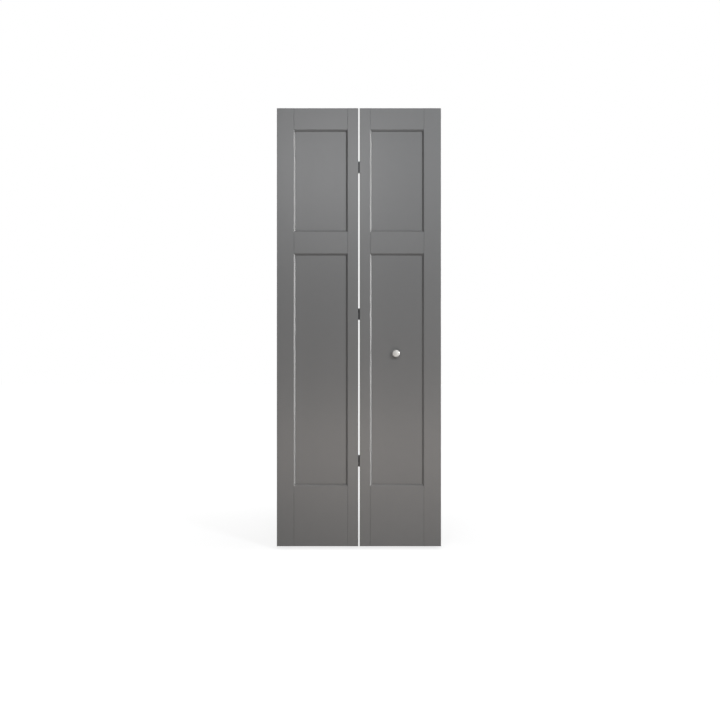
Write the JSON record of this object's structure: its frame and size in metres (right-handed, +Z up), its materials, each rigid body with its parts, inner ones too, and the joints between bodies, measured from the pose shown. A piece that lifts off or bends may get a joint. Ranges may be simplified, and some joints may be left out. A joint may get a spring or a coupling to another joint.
{
  "type": "bifold door",
  "caption": "Tall narrow closet door of hinged grey stile-and-rail leaves with flat recessed panels, which folds on butt hinges and hangs on a bottom bush and sprung top pins; round knob.",
  "frame": {"origin": "mouth of the bottom pivot bush, on the axis that the pivot leaf turns about, at the bottom of the door", "axes": "+Z up along the pivot axis, +X along the closed door from the pivot leaf to the lead leaf, -Y the front with the knob"},
  "size_m": [0.7524, 0.0572, 2.0066],
  "materials": {
    "painted_wood": "smooth satin grey paint",
    "dowel_wood": "bare turned hardwood",
    "satin_nickel": "satin nickel plate",
    "zinc_steel": "dull dark zinc plated steel",
    "spring_steel": "drawn spring wire",
    "nylon": "moulded natural nylon"
  },
  "bodies": {
    "pivot_leaf": {"pivot_bottom_rail": "painted_wood", "pivot_mid_rail": "painted_wood", "pivot_top_rail": "painted_wood", "pivot_outer_stile": "painted_wood", "pivot_hinge_stile": "painted_wood", "pivot_upper_panel": "painted_wood", "pivot_lower_panel": "painted_wood", "pivot_dowels": "dowel_wood", "bottom_hinge_pivot_plate": "zinc_steel", "bottom_hinge_pin": "zinc_steel", "middle_hinge_pivot_plate": "zinc_steel", "middle_hinge_pin": "zinc_steel", "top_hinge_pivot_plate": "zinc_steel", "top_hinge_pin": "zinc_steel", "pivot_hinge_screws": "zinc_steel", "top_pivot_sleeve": "nylon", "top_pivot_spring": "spring_steel", "bottom_pivot_bush": "nylon"},
    "lead_leaf": {"lead_bottom_rail": "painted_wood", "lead_mid_rail": "painted_wood", "lead_top_rail": "painted_wood", "lead_outer_stile": "painted_wood", "lead_hinge_stile": "painted_wood", "lead_upper_panel": "painted_wood", "lead_lower_panel": "painted_wood", "lead_dowels": "dowel_wood", "bottom_hinge_lead_plate": "zinc_steel", "middle_hinge_lead_plate": "zinc_steel", "top_hinge_lead_plate": "zinc_steel", "lead_hinge_screws": "zinc_steel", "knob": "satin_nickel", "knob_washer": "zinc_steel", "knob_screw": "zinc_steel", "top_guide_sleeve": "nylon", "top_guide_spring": "spring_steel"},
    "pivot_pin": {"top_pivot_pin": "zinc_steel"},
    "guide_pin": {"top_guide_pin": "nylon"}
  },
  "joints": [
    {"name": "fold", "type": "hinge", "parent": "pivot_leaf", "child": "lead_leaf", "pos_m": [0.3508, 0.0207, 0], "axis": [0, 0, 1], "range_deg": [0, 175]},
    {"name": "top_pivot_slide", "type": "slide", "parent": "pivot_leaf", "child": "pivot_pin", "axis": [0, 0, 1], "range_m": [0, 0.013], "stiffness_N_per_m": 400, "springref_m": 0.018, "deforming": ["top_pivot_spring"]},
    {"name": "top_guide_slide", "type": "slide", "parent": "lead_leaf", "child": "guide_pin", "axis": [0, 0, 1], "range_m": [0, 0.013], "stiffness_N_per_m": 400, "springref_m": 0.018, "deforming": ["top_guide_spring"]}
  ]
}
